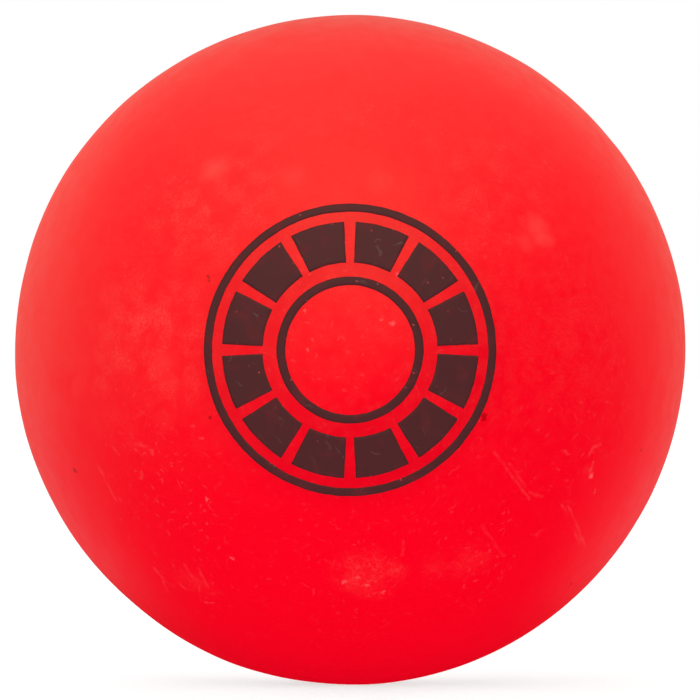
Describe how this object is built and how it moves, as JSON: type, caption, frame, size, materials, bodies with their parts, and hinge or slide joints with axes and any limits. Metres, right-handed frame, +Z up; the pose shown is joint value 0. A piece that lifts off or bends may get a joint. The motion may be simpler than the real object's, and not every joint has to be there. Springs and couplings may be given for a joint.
{
  "type": "street hockey ball",
  "caption": "Hollow low-bounce ball of flexible red PVC, made of half shells cemented on a tongue-and-groove seam, with a plugged vent hole at the back.",
  "frame": {"origin": "centre of the ball", "axes": "+Z up as pictured, -Y out of the printed side, +Y out of the vent plug; the seam lies in the XZ plane"},
  "size_m": [0.066, 0.066, 0.066],
  "materials": {
    "shell_pvc": "satin flexible PVC with a cloudy bloom and fine scuffs",
    "plug_pvc": "satin flexible PVC, trimmed flush",
    "seam_cement": "cured amber solvent cement",
    "print_ink": "matt dark maroon pad-printing ink"
  },
  "bodies": {
    "root": {"front_half_shell": "shell_pvc", "rear_half_shell": "shell_pvc", "seam_cement_bead": "seam_cement", "vent_plug": "plug_pvc"}
  },
  "joints": []
}
